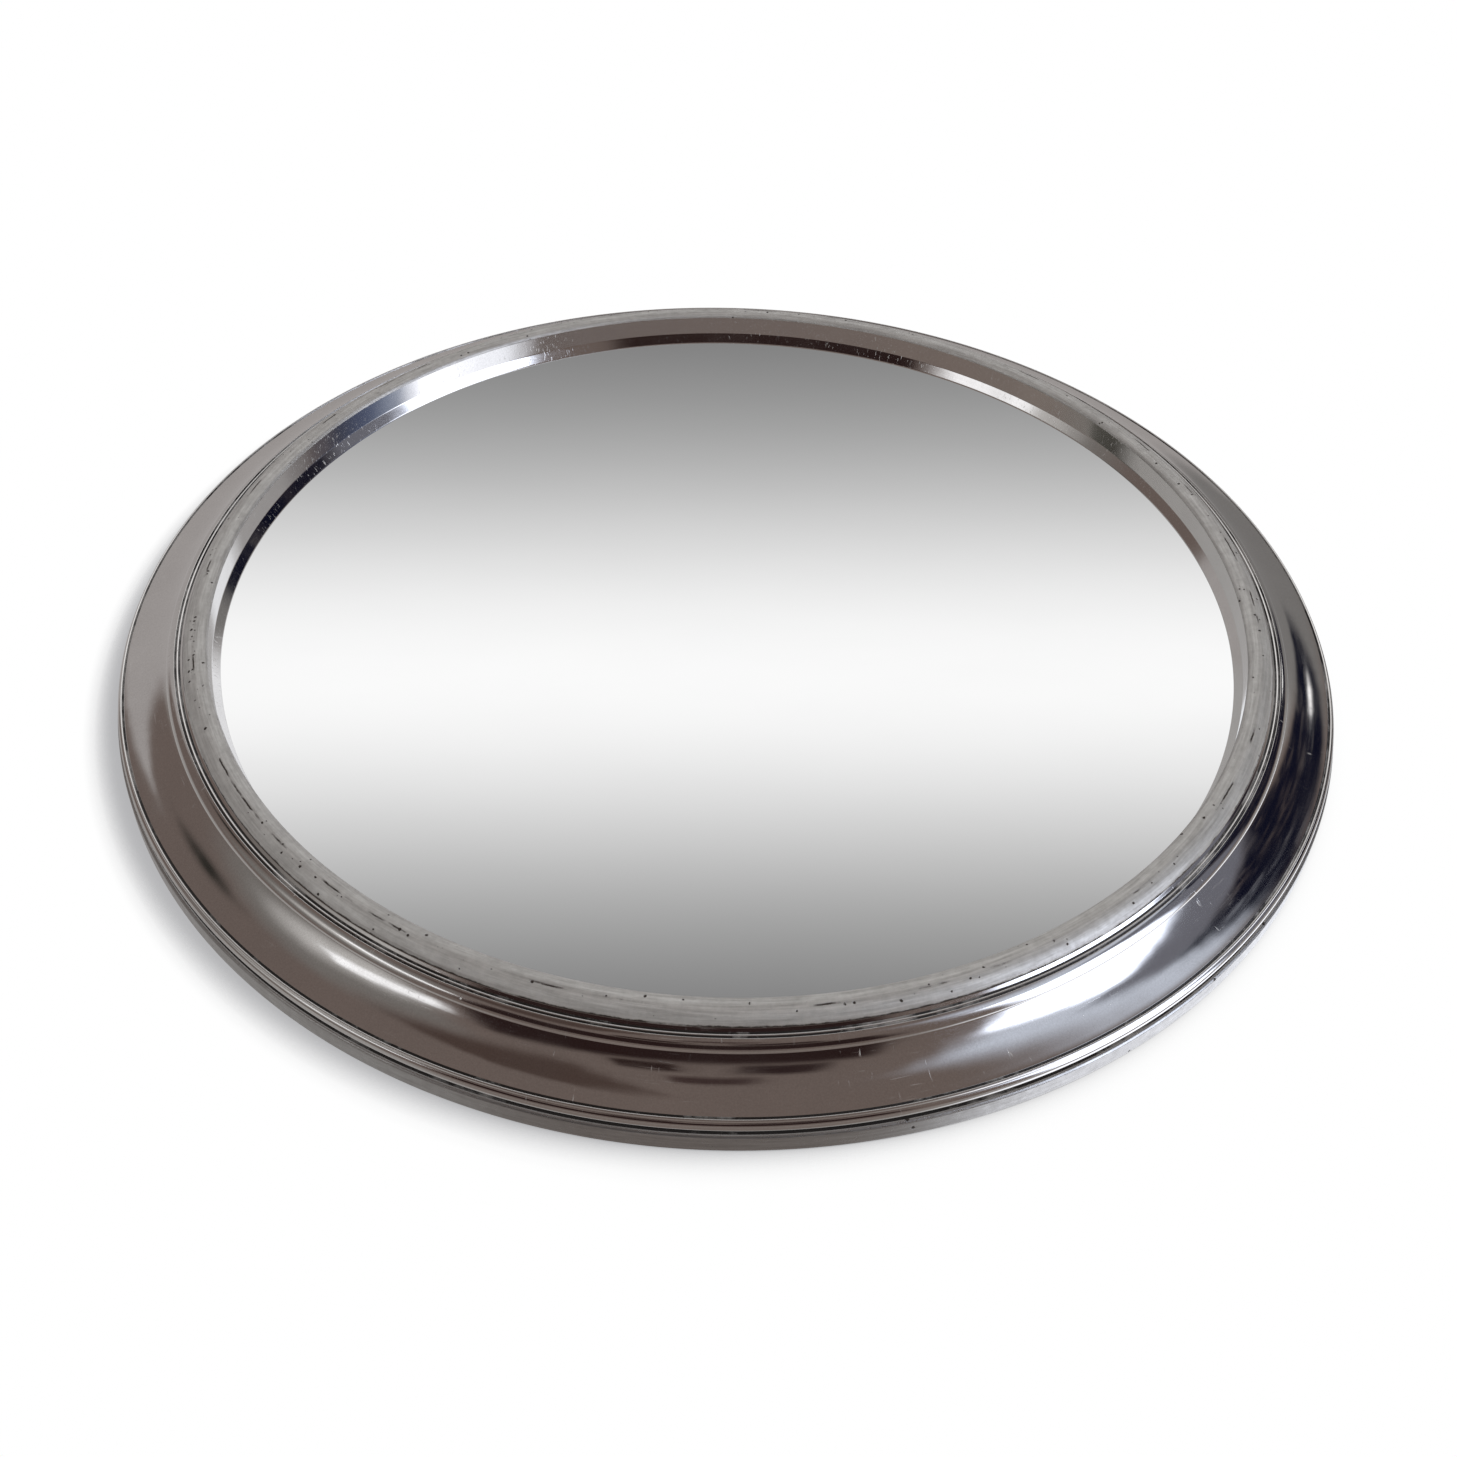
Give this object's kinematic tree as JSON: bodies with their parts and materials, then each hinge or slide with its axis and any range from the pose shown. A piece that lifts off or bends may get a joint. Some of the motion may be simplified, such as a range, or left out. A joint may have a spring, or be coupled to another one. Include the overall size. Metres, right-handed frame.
{
  "type": "countertop mirror",
  "caption": "Round counter mirror: a plate mirror set deep in a turned, polished metal frame, with a folding strut at its back to stand it up on a counter.",
  "frame": {"origin": "on the surface that the mirror lies on, under the centre of its frame", "axes": "+Z out of the glass, +Y towards the mirror's top as it stands on its strut, +X to the viewer's right"},
  "size_m": [0.32, 0.32, 0.0207],
  "materials": {
    "polished_aluminium": "turned, polished in the cove, satin and pitted on the land and the base rim",
    "silvered_glass": "plate glass, silvered at the back",
    "grey_card": "grey pulp card, dull",
    "hardboard": "brown pressed hardboard, smooth and dull",
    "zinc_steel": "zinc-plated pressed steel",
    "black_rubber": "moulded rubber, dull"
  },
  "bodies": {
    "frame": {"frame_ring": "polished_aluminium", "mirror_glass": "silvered_glass", "card_packing": "grey_card", "backing_board": "hardboard", "retaining_clip_1": "zinc_steel", "retaining_clip_2": "zinc_steel", "retaining_clip_3": "zinc_steel", "retaining_clip_4": "zinc_steel", "retaining_clip_5": "zinc_steel", "retaining_clip_6": "zinc_steel", "retaining_clip_7": "zinc_steel", "retaining_clip_8": "zinc_steel", "clip_screw_1": "zinc_steel", "clip_screw_2": "zinc_steel", "clip_screw_3": "zinc_steel", "clip_screw_4": "zinc_steel", "clip_screw_5": "zinc_steel", "clip_screw_6": "zinc_steel", "clip_screw_7": "zinc_steel", "clip_screw_8": "zinc_steel", "hinge_leaf": "zinc_steel", "hinge_pin": "zinc_steel", "hinge_rivet_1": "zinc_steel", "hinge_rivet_2": "zinc_steel", "hinge_rivet_3": "zinc_steel", "hinge_rivet_4": "zinc_steel"},
    "strut": {"strut": "zinc_steel", "strut_shoe": "black_rubber"}
  },
  "joints": [
    {"name": "strut_fold", "type": "hinge", "parent": "frame", "child": "strut", "pos_m": [0, 0.03, 0.0022], "axis": [1, 0, 0], "range_deg": [0, 36]}
  ]
}
